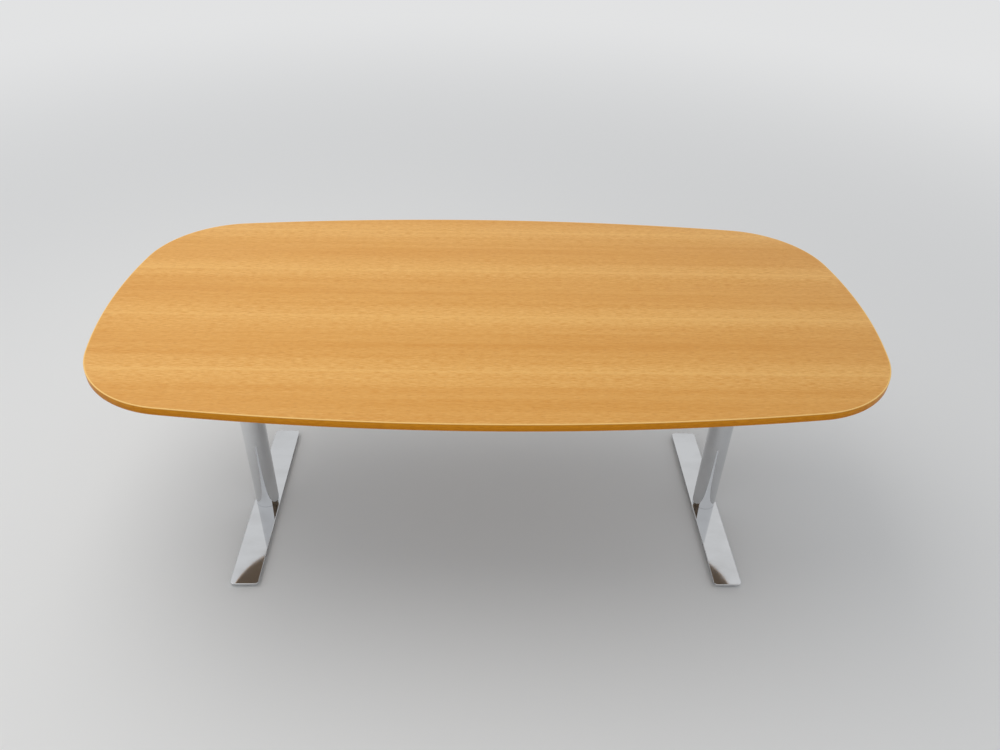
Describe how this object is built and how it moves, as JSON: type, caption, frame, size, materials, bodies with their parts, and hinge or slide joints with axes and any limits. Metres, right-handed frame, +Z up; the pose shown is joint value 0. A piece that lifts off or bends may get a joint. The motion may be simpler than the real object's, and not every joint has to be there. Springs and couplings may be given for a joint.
{
  "type": "oval meeting table",
  "caption": "Barrel-shaped oak-veneered table top with bowed sides and rounded corners on chromed round columns with flat foot plates and levelling glides.",
  "frame": {"origin": "on the floor under the middle of the top", "axes": "+X along the top, +Y across it to the back, +Z up"},
  "size_m": [2, 0.9996, 0.75],
  "materials": {
    "oak_veneer": "satin lacquer",
    "oak_lipping": "satin lacquer",
    "backing_veneer": "sealed veneer",
    "chipboard": "raw chipboard",
    "chrome": "mirror plate",
    "underframe": "fine powder coat",
    "fasteners": "zinc plate",
    "insert": "machined",
    "glide": "moulded"
  },
  "bodies": {
    "table": {"top_veneer": "oak_veneer", "edge_lipping": "oak_lipping", "backing_veneer": "backing_veneer", "top_core": "chipboard", "stretcher_beam": "underframe", "foot_screws": "fasteners", "head_screws": "fasteners", "beam_bolts": "fasteners", "beam_nuts": "fasteners", "top_screws": "fasteners", "threaded_inserts": "insert", "foot_plate_left": "chrome", "column_left": "chrome", "column_foot_plug_left": "fasteners", "column_head_plug_left": "fasteners", "support_arm_left": "underframe", "beam_end_plate_left": "underframe", "foot_plate_right": "chrome", "column_right": "chrome", "column_foot_plug_right": "fasteners", "column_head_plug_right": "fasteners", "support_arm_right": "underframe", "beam_end_plate_right": "underframe"},
    "glide_front_left": {"glide_foot_front_left": "glide", "glide_stud_front_left": "fasteners"},
    "glide_back_left": {"glide_foot_back_left": "glide", "glide_stud_back_left": "fasteners"},
    "glide_front_right": {"glide_foot_front_right": "glide", "glide_stud_front_right": "fasteners"},
    "glide_back_right": {"glide_foot_back_right": "glide", "glide_stud_back_right": "fasteners"}
  },
  "joints": [
    {"name": "glide_front_left_level", "type": "slide", "parent": "table", "child": "glide_front_left", "axis": [0, 0, -1], "range_m": [0, 0.004]},
    {"name": "glide_back_left_level", "type": "slide", "parent": "table", "child": "glide_back_left", "axis": [0, 0, -1], "range_m": [0, 0.004]},
    {"name": "glide_front_right_level", "type": "slide", "parent": "table", "child": "glide_front_right", "axis": [0, 0, -1], "range_m": [0, 0.004]},
    {"name": "glide_back_right_level", "type": "slide", "parent": "table", "child": "glide_back_right", "axis": [0, 0, -1], "range_m": [0, 0.004]}
  ]
}
